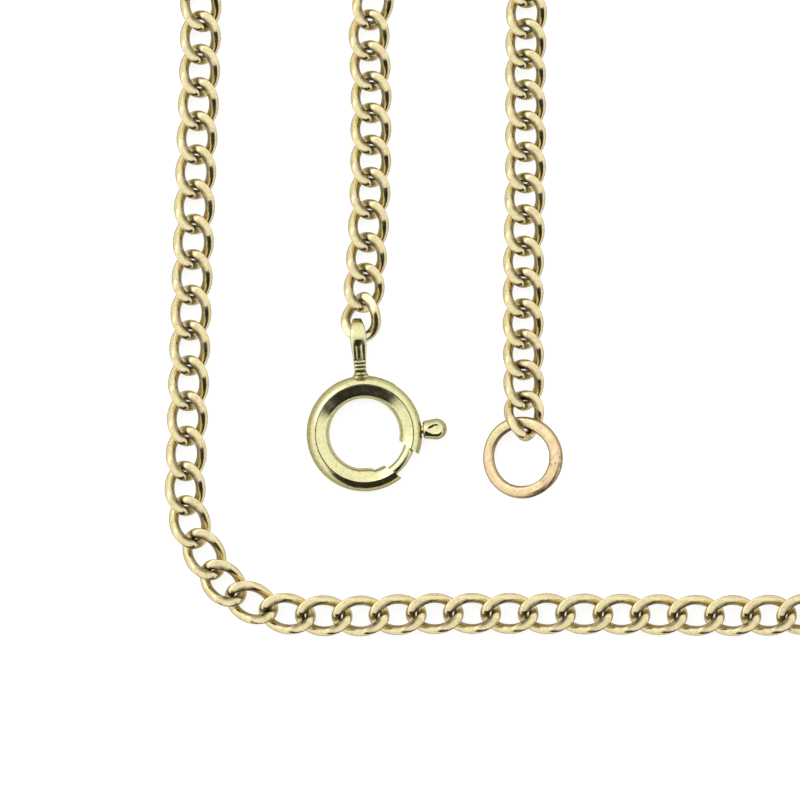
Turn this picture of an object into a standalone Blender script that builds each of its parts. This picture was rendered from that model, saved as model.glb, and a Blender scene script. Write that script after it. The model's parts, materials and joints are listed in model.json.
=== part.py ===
"""A fine curb-link watch chain laid flat, with a bolt ring clasp at one end and a jump ring at the other.

The links are numbered from the clasp. Each one hangs on a hinge, an empty where its wire crosses that
of its neighbour nearer the corner of the chain. Four stretches of the loops between the open runs are
plain ribbons of the links' width and mass.
"""

import math

import bmesh
import bpy
from mathutils import Matrix, Vector

MM = 0.001

# A curb link: a closed loop of round wire, each end turned to lie flat. The links are graduated: each
# is as long as the step to the next, and the grip where the wires of two neighbours cross.
LINK_GRIP = 1.29 * MM
LINK_WIDTH = 2.48 * MM
LINK_WIRE = 0.60 * MM
LINK_TWIST = math.radians(48)
LINK_SQUARENESS = 2.4
LINK_POINTS = 14

# Where the chain lies: a link's number, and its centre in mm. The others follow on a smooth curve.
ROUTE = (
    (1, -2.32, 5.01),
    (3, -2.02, 8.57),
    (5, -1.81, 12.46),
    (8, -1.74, 18.26),
    (11, -1.63, 23.92),
    (12, -1.01, 25.99),
    (14, -2.84, 29.83),
    (16, -6.79, 31.38),
    (18, -10.74, 29.83),
    (20, -12.57, 25.99),
    (21, -12.01, 23.84),
    (22, -12.03, 21.84),
    (26, -12.31, 13.75),
    (30, -12.60, 5.27),
    (34, -12.88, -3.22),
    (35, -12.95, -5.32),
    (36, -12.67, -7.36),
    (37, -11.79, -9.29),
    (38, -10.65, -11.03),
    (39, -8.95, -12.20),
    (40, -6.80, -12.87),
    (41, -4.60, -13.00),
    (44, 2.09, -12.87),
    (49, 13.34, -12.91),
    (53, 22.21, -12.97),
    (54, 24.32, -12.90),
    (56, 28.00, -10.91),
    (58, 29.67, -7.04),
    (59, 29.69, -4.89),
    (60, 29.69, -2.76),
    (66, 29.69, 10.10),
    (72, 29.69, 22.96),
    (73, 29.66, 25.10),
    (75, 28.48, 29.13),
    (77, 25.06, 31.59),
    (78, 22.93, 31.86),
    (79, 20.80, 31.88),
    (81, 16.52, 31.88),
    (82, 14.38, 31.78),
    (84, 10.35, 30.64),
    (86, 7.91, 27.21),
    (88, 7.62, 23.29),
    (89, 7.58, 21.47),
    (93, 7.56, 14.02),
    (97, 7.42, 6.45),
    (101, 7.48, -0.94),
)
LAST_LINK = ROUTE[-1][0]
CORNER_LINK = 38

# Ribbons stand for these links, first and last, in the loops between the open runs.
RIBBONS = ((10, 22), (53, 64), (65, 77), (78, 89))
RIBBON_THICKNESS = 0.43 * MM
RIBBON_WAIST = 0.8
RIBBON_GAP = 0.5 * MM
RIBBON_SIDES = 8

# Hinges that turn flat on the table. All the others lift off it.
FLAT_HINGES = (2, 100)

# The bolt ring: a hollow round tube bent into a ring, cut open at a parallel-sided mouth.
CLASP_CENTRE = Vector((-2.14, -2.02, 0)) * MM
CLASP_RADIUS = 2.806 * MM
TUBE_RADIUS = 0.69 * MM
BORE_RADIUS = 0.40 * MM
STOP_ANGLE = math.radians(107)
STOP_HALF_ANGLE = math.radians(2)
MOUTH_ANGLE = math.radians(-35.5)
MOUTH_WIDTH = 1.75 * MM
MOUTH_DEPTH = 3.0 * MM
SLOT_RADIUS = 3.3 * MM
SLOT_HALF_HEIGHT = 0.29 * MM
TONGUE_TRAVEL = math.radians(48)

# The tongue: a sprung arc of wire in the bore, with a ball knob that stands out through the slot.
TONGUE_RADIUS = 0.32 * MM
TONGUE_START = math.radians(-65)
TONGUE_END = math.radians(10)
KNOB_ANGLE = math.radians(3.6)
KNOB_BASE = 3.58 * MM
KNOB_BASE_RADIUS = 0.53 * MM
KNOB_CENTRE = 4.34 * MM
KNOB_RADIUS = 0.64 * MM
NECK_RADIUS = 0.25 * MM
NECK_CLEARANCE = math.radians(6)

# The return spring, behind the tongue and against the stop.
SPRING_RADIUS = 0.24 * MM
SPRING_WIRE = 0.11 * MM
SPRING_TURNS = 7
SPRING_TURN_POINTS = 7
SPRING_END_GAP = math.radians(2.5)

# The eye: a flat strap bent into a standing loop, with its foot soldered to the ring's tube.
EYE_ANGLE = math.radians(93.7)
EYE_FOOT = 3.52 * MM
EYE_TIP = 6.97 * MM
EYE_WIDTH = 0.78 * MM
EYE_HEIGHT = 2.08 * MM
EYE_STRAP = 0.345 * MM
EYE_FOOT_HEIGHT = 0.9 * MM
EYE_HOLE_START = 4.75 * MM

# The jump ring at the other end, leaning on its link.
RING_CENTRE = Vector((7.36, -3.46, 0)) * MM
RING_RADIUS = 2.067 * MM
RING_WIRE = 0.75 * MM
RING_LEAN = math.radians(-17.5)

# Links that don't lie flat, because they carry the eye or the ring: pitch and roll, and how far up.
LEANING_LINKS = {
    1: (math.radians(8), math.radians(-19), 0.28 * MM),
    100: (0, math.radians(-9.5), 0.1 * MM),
    101: (math.radians(-12), math.radians(-18), 0.18 * MM),
}

GOLD = ("chain_gold", (0.83, 0.66, 0.36, 1), 0.25)
CLASP_GOLD = ("clasp_gold", (0.80, 0.72, 0.42, 1), 0.18)
ROSE_GOLD = ("ring_gold", (0.86, 0.62, 0.40, 1), 0.3)
SPRING_STEEL = ("spring_steel", (0.62, 0.61, 0.58, 1), 0.3)


def clear_scene():
    for thing in list(bpy.data.objects):
        bpy.data.objects.remove(thing)


def new_collection(name):
    collection = bpy.data.collections.new(name)
    bpy.context.scene.collection.children.link(collection)
    return collection


def metal(name, colour, roughness):
    material = bpy.data.materials.new(name)
    material.use_nodes = True
    shader = material.node_tree.nodes["Principled BSDF"]
    shader.inputs["Base Color"].default_value = colour
    shader.inputs["Roughness"].default_value = roughness
    shader.inputs["Metallic"].default_value = 1.0
    material.diffuse_color = colour
    return material


def route_place(number):
    """The centre of a link, or of any place between two links, and the step from there to the next link."""
    last = len(ROUTE) - 2
    index = max(i for i in range(last + 1) if ROUTE[i][0] <= number or i == 0)
    here, after = ROUTE[index], ROUTE[index + 1]
    span = after[0] - here[0]
    start, end = Vector(here[1:]) * MM, Vector(after[1:]) * MM
    leave, arrive = route_slope(index) * span, route_slope(index + 1) * span
    t = (number - here[0]) / span
    point = start * (2 * t**3 - 3 * t**2 + 1) + leave * (t**3 - 2 * t**2 + t)
    point += end * (3 * t**2 - 2 * t**3) + arrive * (t**3 - t**2)
    slope = (start - end) * (6 * t**2 - 6 * t) + leave * (3 * t**2 - 4 * t + 1)
    slope += arrive * (3 * t**2 - 2 * t)
    return point.to_3d(), slope.to_3d() / span


def route_point(number):
    """The centre of a link, or of any place between two links, and the chain's direction there."""
    point, step = route_place(number)
    return point, step.normalized()


def link_length(number):
    """The outer length of a link."""
    return route_place(number)[1].length + LINK_GRIP


def route_slope(index):
    """How far the route moves on for each link, at one of its points."""
    steps = []
    for low, high in ((index - 1, index), (index, index + 1)):
        if low < 0 or high >= len(ROUTE):
            continue
        span = ROUTE[high][0] - ROUTE[low][0]
        steps.append((span, (Vector(ROUTE[high][1:]) - Vector(ROUTE[low][1:])) / span))
    if len(steps) == 1:
        return steps[0][1] * MM
    (before, slope_in), (after, slope_out) = steps
    return (slope_in * after + slope_out * before) / (before + after) * MM


def link_line(length):
    """Points along the middle of a link's wire, which is an oval twisted about its length."""
    half_length = (length - LINK_WIRE) / 2
    half_width = (LINK_WIDTH - LINK_WIRE) / 2
    points = []
    for step in range(LINK_POINTS):
        angle = 2 * math.pi * step / LINK_POINTS
        along = math.copysign(abs(math.cos(angle)) ** (2 / LINK_SQUARENESS), math.cos(angle))
        across = math.copysign(abs(math.sin(angle)) ** (2 / LINK_SQUARENESS), math.sin(angle))
        turn = -LINK_TWIST * along
        reach = across * half_width
        points.append(Vector((along * half_length, reach * math.cos(turn), reach * math.sin(turn))))
    return points


CHAIN_MIDDLE = max(point.z for point in link_line(0)) + LINK_WIRE / 2


def wire_curve(name, points, radius, closed=False, resolution=1, radii=None):
    """A round wire along straight steps, as curve data with filled ends."""
    curve = bpy.data.curves.new(name, "CURVE")
    curve.dimensions = "3D"
    curve.twist_mode = "Z_UP" if radii else "MINIMUM"
    curve.bevel_depth = radius
    curve.bevel_resolution = resolution
    curve.use_fill_caps = not closed
    spline = curve.splines.new("POLY")
    spline.points.add(len(points) - 1)
    for index, point in enumerate(points):
        spline.points[index].co = (*point, 1)
        spline.points[index].radius = radii[index] if radii else 1
    spline.use_cyclic_u = closed
    spline.use_smooth = True
    return curve


def arc_points(radius, start, end, steps):
    """Points on an arc about the Z axis."""
    angles = [start + (end - start) * step / steps for step in range(steps + 1)]
    return [Vector((radius * math.cos(a), radius * math.sin(a), 0)) for a in angles]


def solid_from_curve(curve, name):
    """A closed mesh of a curve, with its caps welded on."""
    holder = bpy.data.objects.new(f"{name}_curve", curve)
    bpy.context.scene.collection.objects.link(holder)
    bpy.context.view_layer.update()
    graph = bpy.context.evaluated_depsgraph_get()
    mesh = bpy.data.meshes.new_from_object(holder.evaluated_get(graph))
    bpy.data.objects.remove(holder)
    body = bmesh.new()
    body.from_mesh(mesh)
    bmesh.ops.remove_doubles(body, verts=body.verts, dist=0.001 * MM)
    bmesh.ops.recalc_face_normals(body, faces=body.faces)
    body.to_mesh(mesh)
    body.free()
    return bpy.data.objects.new(name, mesh)


def add_cutter(target, cutter, cutters, operation="DIFFERENCE"):
    cutter.hide_render = True
    cutter.display_type = "WIRE"
    cutters.objects.link(cutter)
    modifier = target.modifiers.new(cutter.name, "BOOLEAN")
    modifier.operation = operation
    modifier.object = cutter
    cutter.parent = target


def mesh_object(name, build):
    """An object whose mesh is made by a bmesh function."""
    mesh = bpy.data.meshes.new(name)
    body = bmesh.new()
    build(body)
    body.to_mesh(mesh)
    body.free()
    return bpy.data.objects.new(name, mesh)


def round_ring(name, radius, wire_radius, segments, sides):
    """A torus about the Z axis."""
    bpy.ops.mesh.primitive_torus_add(
        major_radius=radius,
        minor_radius=wire_radius,
        major_segments=segments,
        minor_segments=sides,
    )
    ring = bpy.context.object
    ring.name = name
    for collection in list(ring.users_collection):
        collection.objects.unlink(ring)
    return ring


def place(part, material, parts, smooth=True):
    part.data.materials.clear()
    part.data.materials.append(material)
    parts.objects.link(part)
    if smooth and part.type == "MESH":
        part.data.shade_smooth()
        part.data.set_sharp_from_angle(angle=math.radians(40))


def hinge_frame(point, axis):
    """A frame at a point, with its X axis along the hinge."""
    across = axis.normalized()
    up = Vector((0, 0, 1)) if abs(across.z) < 0.5 else Vector((1, 0, 0))
    third = across.cross(up).normalized()
    up = third.cross(across)
    frame = Matrix((across, third, up)).transposed().to_4x4()
    frame.translation = point
    return frame


def add_hinge(name, frame, parent, parts):
    """An empty on a joint's axis, hung from the hinge of the body that carries it."""
    hinge = bpy.data.objects.new(name, None)
    hinge.empty_display_size = 1 * MM
    parts.objects.link(hinge)
    hang(hinge, frame, parent)
    bpy.context.view_layer.update()
    return hinge


def hang(thing, frame, parent):
    """Puts a thing in a world frame, as the child of a hinge."""
    if parent is not None:
        thing.parent = parent
        thing.matrix_parent_inverse = parent.matrix_world.inverted()
    thing.matrix_basis = frame


def link_frame(number):
    """Where a link lies: X along the chain, Z up, leaning where it meets the eye or the ring."""
    point, direction = route_point(number)
    frame = Matrix((direction, Vector((0, 0, 1)).cross(direction), Vector((0, 0, 1))))
    frame = frame.transposed().to_4x4()
    frame.translation = point + Vector((0, 0, CHAIN_MIDDLE))
    if number in LEANING_LINKS:
        pitch, roll, lift = LEANING_LINKS[number]
        frame.translation.z += lift
        frame = frame @ Matrix.Rotation(pitch, 4, "Y") @ Matrix.Rotation(roll, 4, "X")
    return frame


def inner_neighbour(number):
    return number + 1 if number < CORNER_LINK else number - 1


def link_hinge_frame(number):
    """The crossing of a link's wire and its inner neighbour's, and the axis that it turns on."""
    middle = (number + inner_neighbour(number)) / 2
    point, direction = route_point(middle)
    point.z = CHAIN_MIDDLE
    if number in FLAT_HINGES:
        axis = Vector((0, 0, 1))
    else:
        axis = Vector((0, 0, 1)).cross(direction)
    return hinge_frame(point, axis if number % 4 < 2 else -axis)


def ribbon_ends(first, last):
    """How far along the route a ribbon reaches, in link numbers."""
    ends = []
    for number, outer, sign in ((first, first - 1, -1), (last, last + 1, 1)):
        pitch = (route_point(outer)[0] - route_point(number)[0]).length
        if any(outer in ribbon for ribbon in RIBBONS):
            ends.append(number + sign * (0.5 - RIBBON_GAP / 2 / pitch))
        else:
            ends.append(outer - sign * (link_length(outer) + RIBBON_GAP) / 2 / pitch)
    return ends


def make_ribbon(first, last, profile):
    """A flat band with a waist wherever two links would cross."""
    start, end = ribbon_ends(first, last)
    halves = range(math.floor(start * 2) + 1, math.ceil(end * 2))
    stations = [start] + [half / 2 for half in halves] + [end]
    origin = route_point((first + last) / 2)[0]
    points = [route_point(station)[0] - origin for station in stations]
    widths = [1 if station == round(station) else RIBBON_WAIST for station in stations]
    curve = wire_curve(f"links_{first:03d}_to_{last:03d}", points, 0, radii=widths)
    curve.bevel_mode = "OBJECT"
    curve.bevel_object = profile
    ribbon = solid_from_curve(curve, curve.name)
    frame = Matrix.Translation(origin + Vector((0, 0, CHAIN_MIDDLE)))
    return ribbon, frame


def ribbon_profile(cutters):
    """The ribbon's cross-section, a flat oval."""
    points = []
    for step in range(RIBBON_SIDES):
        angle = 2 * math.pi * step / RIBBON_SIDES
        reach = Vector((math.cos(angle) * LINK_WIDTH / 2, math.sin(angle) * RIBBON_THICKNESS / 2, 0))
        points.append(reach)
    curve = bpy.data.curves.new("ribbon_profile", "CURVE")
    curve.dimensions = "2D"
    spline = curve.splines.new("POLY")
    spline.points.add(len(points) - 1)
    for index, point in enumerate(points):
        spline.points[index].co = (*point, 1)
    spline.use_cyclic_u = True
    profile = bpy.data.objects.new("ribbon_profile", curve)
    profile.hide_render = True
    profile.display_type = "WIRE"
    cutters.objects.link(profile)
    return profile


def add_chain(parts, cutters, gold):
    """All links and ribbons, from the corner out to both ends. Returns each hinge by link number."""
    profile = ribbon_profile(cutters)
    hinges = {}
    outward = [CORNER_LINK]
    outward += range(CORNER_LINK - 1, 0, -1)
    outward += range(CORNER_LINK + 1, LAST_LINK + 1)
    for number in outward:
        ribbon_range = next((r for r in RIBBONS if r[0] <= number <= r[1]), None)
        parent = hinges.get(inner_neighbour(number)) if number != CORNER_LINK else None
        nearest = None
        if ribbon_range:
            nearest = ribbon_range[1] if number < CORNER_LINK else ribbon_range[0]
        if ribbon_range and number != nearest:
            hinges[number] = parent
            continue
        name = f"link_{number:03d}"
        if ribbon_range:
            part, frame = make_ribbon(*ribbon_range, profile)
            name = part.name
        else:
            shape = wire_curve(name, link_line(link_length(number)), LINK_WIRE / 2, closed=True)
            part, frame = bpy.data.objects.new(name, shape), link_frame(number)
        hinge = add_hinge(f"{name}_hinge", link_hinge_frame(number), parent, parts)
        hinges[number] = hinge
        place(part, gold, parts)
        hang(part, frame, hinge)
    return hinges


def clasp_body(cutters):
    """The bolt ring's tube, with its bore, its mouth and the slot that the knob slides in."""
    ring = round_ring("clasp_body", CLASP_RADIUS, TUBE_RADIUS, 44, 12)
    bore_start = STOP_ANGLE + STOP_HALF_ANGLE
    bore_end = STOP_ANGLE - STOP_HALF_ANGLE + 2 * math.pi
    bore_line = arc_points(CLASP_RADIUS, bore_start, bore_end, 40)
    bore = wire_curve("clasp_bore", bore_line, BORE_RADIUS, resolution=2)
    add_cutter(ring, solid_from_curve(bore, "clasp_bore"), cutters)
    mouth = mesh_object("clasp_mouth", lambda body: bmesh.ops.create_cube(body, size=1))
    turn = Matrix.Rotation(MOUTH_ANGLE, 4, "Z") @ Matrix.Translation((CLASP_RADIUS, 0, 0))
    size = Matrix.Diagonal((MOUTH_DEPTH, MOUTH_WIDTH, MOUTH_DEPTH, 1))
    mouth.data.transform(turn @ size)
    add_cutter(ring, mouth, cutters)
    low = KNOB_ANGLE - NECK_CLEARANCE
    high = KNOB_ANGLE + TONGUE_TRAVEL + NECK_CLEARANCE
    slot_line = arc_points(SLOT_RADIUS, low, high, 8)
    slot = wire_curve("clasp_slot", slot_line, SLOT_HALF_HEIGHT, resolution=1)
    add_cutter(ring, solid_from_curve(slot, "clasp_slot"), cutters)
    return ring


def clasp_tongue(cutters):
    """The arc of wire that shuts the mouth, with its neck and ball."""
    arc = arc_points(CLASP_RADIUS, TONGUE_START, TONGUE_END, 10)
    tongue = solid_from_curve(wire_curve("tongue_wire", arc, TONGUE_RADIUS, resolution=2), "clasp_tongue")
    turn = Matrix.Rotation(KNOB_ANGLE, 4, "Z")
    stages = (
        ("knob_neck", CLASP_RADIUS, NECK_RADIUS, KNOB_CENTRE, NECK_RADIUS),
        ("knob_shank", KNOB_BASE, KNOB_BASE_RADIUS, KNOB_CENTRE, KNOB_RADIUS),
    )
    for name, start, start_radius, end, end_radius in stages:
        def shape(body):
            bmesh.ops.create_cone(
                body, cap_ends=True, segments=10, radius1=start_radius, radius2=end_radius, depth=end - start
            )

        stage = mesh_object(name, shape)
        middle = Matrix.Translation(((start + end) / 2, 0, 0))
        stage.data.transform(turn @ middle @ Matrix.Rotation(math.pi / 2, 4, "Y"))
        add_cutter(tongue, stage, cutters, "UNION")

    def ball_shape(body):
        bmesh.ops.create_uvsphere(body, u_segments=12, v_segments=8, radius=KNOB_RADIUS)

    ball = mesh_object("knob_ball", ball_shape)
    ball.data.transform(turn @ Matrix.Translation((KNOB_CENTRE, 0, 0)))
    add_cutter(tongue, ball, cutters, "UNION")
    return tongue


def clasp_spring():
    """The coil spring, wound along the bore."""
    start = TONGUE_END + SPRING_END_GAP
    end = STOP_ANGLE - STOP_HALF_ANGLE - SPRING_END_GAP
    steps = SPRING_TURNS * SPRING_TURN_POINTS
    points = []
    for step in range(steps + 1):
        along = start + (end - start) * step / steps
        turn = 2 * math.pi * step / SPRING_TURN_POINTS
        out = CLASP_RADIUS + SPRING_RADIUS * math.cos(turn)
        rise = SPRING_RADIUS * math.sin(turn)
        points.append(Vector((out * math.cos(along), out * math.sin(along), rise)))
    curve = wire_curve("clasp_spring", points, SPRING_WIRE / 2)
    return bpy.data.objects.new("clasp_spring", curve)


def clasp_eye():
    """The standing loop, drawn as a flat outline from its foot at the left to its tip at the right."""
    curve = bpy.data.curves.new("clasp_eye", "CURVE")
    curve.dimensions = "2D"
    curve.fill_mode = "BOTH"
    curve.extrude = EYE_WIDTH / 2
    half = EYE_HEIGHT / 2
    tip_middle = EYE_TIP - half
    outer = [(EYE_FOOT, -EYE_FOOT_HEIGHT / 2), (EYE_HOLE_START, -half * 0.9)]
    outer += [(tip_middle + half * math.sin(a), -half * math.cos(a)) for a in half_turn(8)]
    outer += [(EYE_HOLE_START, half * 0.9), (EYE_FOOT, EYE_FOOT_HEIGHT / 2)]
    inner_half = half - EYE_STRAP
    inner = [(EYE_HOLE_START, inner_half * 0.6), (EYE_HOLE_START, -inner_half * 0.6)]
    inner += [(tip_middle + inner_half * math.sin(a), -inner_half * math.cos(a)) for a in half_turn(8)]
    for outline in (outer, inner):
        spline = curve.splines.new("POLY")
        spline.points.add(len(outline) - 1)
        for index, point in enumerate(outline):
            spline.points[index].co = (*point, 0, 1)
        spline.use_cyclic_u = True
    eye = solid_from_curve(curve, "clasp_eye")
    eye.data.transform(Matrix.Rotation(math.pi / 2, 4, "X"))
    return eye


def half_turn(steps):
    return [math.pi * step / steps for step in range(steps + 1)]


def add_clasp(first_hinge, parts, cutters):
    """The bolt ring and its eye, which turn together about the tip of the first link."""
    gold = metal(*CLASP_GOLD)
    centre = CLASP_CENTRE + Vector((0, 0, TUBE_RADIUS))
    lie = Matrix.Translation(centre)
    out = Vector((math.cos(EYE_ANGLE), math.sin(EYE_ANGLE), 0))
    tip_wire = link_frame(1) @ Vector(((LINK_WIRE - link_length(1)) / 2, 0, 0))
    swing = add_hinge("clasp_hinge", hinge_frame(tip_wire, Vector((0, 0, 1)).cross(out)), first_hinge, parts)
    body = clasp_body(cutters)
    place(body, gold, parts)
    hang(body, lie, swing)
    eye = clasp_eye()
    place(eye, gold, parts)
    lift = Matrix.Translation((CLASP_CENTRE.x, CLASP_CENTRE.y, EYE_HEIGHT / 2))
    hang(eye, lift @ Matrix.Rotation(EYE_ANGLE, 4, "Z"), swing)
    slide = add_hinge("tongue_hinge", hinge_frame(centre, Vector((0, 0, 1))), swing, parts)
    tongue = clasp_tongue(cutters)
    place(tongue, gold, parts)
    hang(tongue, lie, slide)
    spring = clasp_spring()
    place(spring, metal(*SPRING_STEEL), parts)
    hang(spring, lie, swing)


def add_jump_ring(last_hinge, parts):
    """The soldered ring, which swings about its own wire where that passes through the last link."""
    rest = RING_RADIUS * math.sin(abs(RING_LEAN)) + RING_WIRE / 2
    lie = Matrix.Translation(RING_CENTRE + Vector((0, 0, rest))) @ Matrix.Rotation(RING_LEAN, 4, "Y")
    crossing = lie @ Vector((0, RING_RADIUS, 0))
    frame = hinge_frame(crossing, lie.to_3x3() @ Vector((1, 0, 0)))
    swing = add_hinge("jump_ring_hinge", frame, last_hinge, parts)
    ring = round_ring("jump_ring", RING_RADIUS, RING_WIRE / 2, 28, 8)
    place(ring, metal(*ROSE_GOLD), parts)
    hang(ring, lie, swing)


def centre_on_origin(parts):
    """Moves the chain so that the origin is under the middle of its box, on the table."""
    bpy.context.view_layer.update()
    graph = bpy.context.evaluated_depsgraph_get()
    corners = []
    for part in parts.objects:
        if part.type != "EMPTY":
            shape = part.evaluated_get(graph)
            mesh = shape.to_mesh()
            corners += [shape.matrix_world @ vertex.co for vertex in mesh.vertices]
            shape.to_mesh_clear()
    low = [min(corner[axis] for corner in corners) for axis in range(3)]
    high = [max(corner[axis] for corner in corners) for axis in range(3)]
    shift = Vector(((low[0] + high[0]) / 2, (low[1] + high[1]) / 2, low[2]))
    for part in parts.objects:
        if part.parent is None:
            part.matrix_basis = Matrix.Translation(-shift) @ part.matrix_basis


def main():
    clear_scene()
    parts = new_collection("watch_chain")
    cutters = new_collection("cutters")
    hinges = add_chain(parts, cutters, metal(*GOLD))
    add_clasp(hinges[1], parts, cutters)
    add_jump_ring(hinges[LAST_LINK], parts)
    centre_on_origin(parts)


main()
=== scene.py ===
"""Looks of a fine curb-link watch chain: worn gold links, a bolt ring clasp with its soldered eye, and
a jump ring.

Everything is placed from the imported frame. Lengths are in metres.
"""

import json
import math

import bmesh
import bpy
import numpy as np
from bpy.props import FloatProperty, FloatVectorProperty, IntProperty, PointerProperty
from mathutils import Matrix, Vector, noise

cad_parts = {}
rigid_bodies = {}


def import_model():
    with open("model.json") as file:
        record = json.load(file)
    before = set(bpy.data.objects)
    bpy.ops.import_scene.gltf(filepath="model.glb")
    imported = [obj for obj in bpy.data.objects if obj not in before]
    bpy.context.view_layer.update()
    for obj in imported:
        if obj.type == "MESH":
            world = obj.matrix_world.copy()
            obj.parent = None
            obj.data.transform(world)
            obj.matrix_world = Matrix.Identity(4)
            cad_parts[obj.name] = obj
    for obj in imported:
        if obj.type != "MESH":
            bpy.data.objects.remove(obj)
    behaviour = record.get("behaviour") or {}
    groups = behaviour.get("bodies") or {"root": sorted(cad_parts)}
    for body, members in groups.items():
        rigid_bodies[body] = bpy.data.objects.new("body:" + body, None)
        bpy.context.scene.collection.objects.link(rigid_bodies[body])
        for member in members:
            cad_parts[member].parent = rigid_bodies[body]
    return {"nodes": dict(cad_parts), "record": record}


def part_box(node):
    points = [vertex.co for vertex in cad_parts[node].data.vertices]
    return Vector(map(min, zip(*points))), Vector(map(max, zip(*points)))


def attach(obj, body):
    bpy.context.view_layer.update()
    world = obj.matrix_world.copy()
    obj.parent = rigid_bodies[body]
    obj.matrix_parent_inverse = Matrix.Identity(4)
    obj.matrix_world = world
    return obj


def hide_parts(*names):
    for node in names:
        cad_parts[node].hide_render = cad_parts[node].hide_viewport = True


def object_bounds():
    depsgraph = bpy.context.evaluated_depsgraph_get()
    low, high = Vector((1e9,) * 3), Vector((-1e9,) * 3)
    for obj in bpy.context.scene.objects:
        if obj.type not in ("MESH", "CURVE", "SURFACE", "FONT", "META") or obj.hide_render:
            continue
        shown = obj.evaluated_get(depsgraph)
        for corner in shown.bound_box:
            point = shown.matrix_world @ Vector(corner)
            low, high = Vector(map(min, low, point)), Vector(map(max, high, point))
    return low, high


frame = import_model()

bl_info = {
    "name": "Curb Link Watch Chain",
    "version": (1, 0, 0),
    "blender": (4, 5, 0),
    "location": "View3D > Sidebar > Chain",
    "description": "Builds a curb-link chain with a bolt ring and a jump ring around a packed frame",
    "category": "Add Mesh",
}

MM = 0.001
CAD_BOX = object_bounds()
JOINTS = {joint["child"]: joint for joint in frame["record"]["behaviour"]["joints"]}
SINGLE_LINKS = sorted(node for node in frame["nodes"] if node.startswith("link_"))
RIBBONS = sorted(node for node in frame["nodes"] if node.startswith("links_"))
CORNER_LINK = "link_038"

# The loops that the ribbons stand for: a link's number, and its centre in mm on the drawing that the
# whole chain was laid out on. The links between them follow on a smooth curve.
LOOP_ROUTE = (
    (5, -1.81, 12.46),
    (8, -1.74, 18.26),
    (11, -1.63, 23.92),
    (12, -1.01, 25.99),
    (14, -2.84, 29.83),
    (16, -6.79, 31.38),
    (18, -10.74, 29.83),
    (20, -12.57, 25.99),
    (21, -12.01, 23.84),
    (22, -12.03, 21.84),
    (26, -12.31, 13.75),
    (44, 2.09, -12.87),
    (49, 13.34, -12.91),
    (53, 22.21, -12.97),
    (54, 24.32, -12.90),
    (56, 28.00, -10.91),
    (58, 29.67, -7.04),
    (59, 29.69, -4.89),
    (60, 29.69, -2.76),
    (66, 29.69, 10.10),
    (72, 29.69, 22.96),
    (73, 29.66, 25.10),
    (75, 28.48, 29.13),
    (77, 25.06, 31.59),
    (78, 22.93, 31.86),
    (79, 20.80, 31.88),
    (81, 16.52, 31.88),
    (82, 14.38, 31.78),
    (84, 10.35, 30.64),
    (86, 7.91, 27.21),
    (88, 7.62, 23.29),
    (89, 7.58, 21.47),
    (93, 7.56, 14.02),
    (97, 7.42, 6.45),
)
CORNER_ON_ROUTE = Vector((-10.65, -11.03, 0)) * MM


def length(name, description, default):
    return FloatProperty(name=name, description=description, default=default, unit="LENGTH", precision=6)


def angle(name, description, default):
    return FloatProperty(name=name, description=description, default=math.radians(default), unit="ROTATION")


def colour(name, description, default):
    return FloatVectorProperty(name=name, description=description, default=default, size=3, subtype="COLOR")


class LinkSizes(bpy.types.PropertyGroup):
    """Sizes of one curb link."""

    grip: length("Grip", "How far two neighbours' ends cross, in the loops", 1.29 * MM)
    width: length("Width", "Outer width of a link", 2.48 * MM)
    wire: length("Wire", "Thickness of the wire", 0.60 * MM)
    twist: angle("Twist", "How far each end is turned to make the link lie flat", 48)
    squareness: FloatProperty(name="Squareness", description="2 is an ellipse, more is squarer", default=2.4)
    planed: length("Planed height", "Half the thickness left when both faces were planed", 0.49 * MM)
    softness: length("Softness", "How far the planed edges are rounded over", 0.05 * MM)
    steps: IntProperty(name="Steps", description="Sections along the wire", default=56)
    sides: IntProperty(name="Sides", description="Points around the wire", default=20)


class ClaspSizes(bpy.types.PropertyGroup):
    """Sizes of the bolt ring, its tongue and its eye."""

    radius: length("Radius", "From the middle of the ring to the middle of its tube", 2.806 * MM)
    tube: length("Tube", "Outer radius of the tube", 0.69 * MM)
    bore: length("Bore", "Inner radius of the tube", 0.42 * MM)
    mouth_angle: angle("Mouth angle", "Where the mouth is", -35.5)
    mouth_width: length("Mouth width", "Gap between the two parallel cut faces", 1.75 * MM)
    tongue: length("Tongue", "Radius of the tongue's wire", 0.32 * MM)
    knob_angle: angle("Knob angle", "Where the knob stands at rest", 3.6)
    knob_centre: length("Knob centre", "From the middle of the ring to the knob", 4.34 * MM)
    knob: length("Knob", "Radius of the knob's round end", 0.64 * MM)
    eye_angle: angle("Eye angle", "Where the eye is soldered on", 93.7)


class RingSizes(bpy.types.PropertyGroup):
    """Sizes of the jump ring."""

    radius: length("Radius", "From the middle of the ring to the middle of its wire", 2.067 * MM)
    wire: length("Wire", "Thickness of the wire", 0.75 * MM)


class Finishes(bpy.types.PropertyGroup):
    """Colours of the three golds and of the table."""

    chain: colour("Chain gold", "Pale yellow gold of the links", (0.80, 0.71, 0.39))
    clasp: colour("Clasp gold", "Greener gold of the bolt ring", (0.76, 0.73, 0.39))
    ring: colour("Ring gold", "Rosier gold of the jump ring", (0.74, 0.54, 0.34))
    # This dark brown is painted shade on the links' inward sides, in the bolt ring's and eye's grooves and
    # on the jump ring's facet; it also darkens the solder and the jump ring's pits.
    tarnish_and_shade_colour: colour("Shade and tarnish", "Dark brown in the creases", (0.045, 0.028, 0.004))
    spring: colour("Spring", "Drawn steel of the coil spring", (0.55, 0.54, 0.52))
    floor: colour("Table", "White table under the chain", (0.35, 0.35, 0.35))


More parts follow.
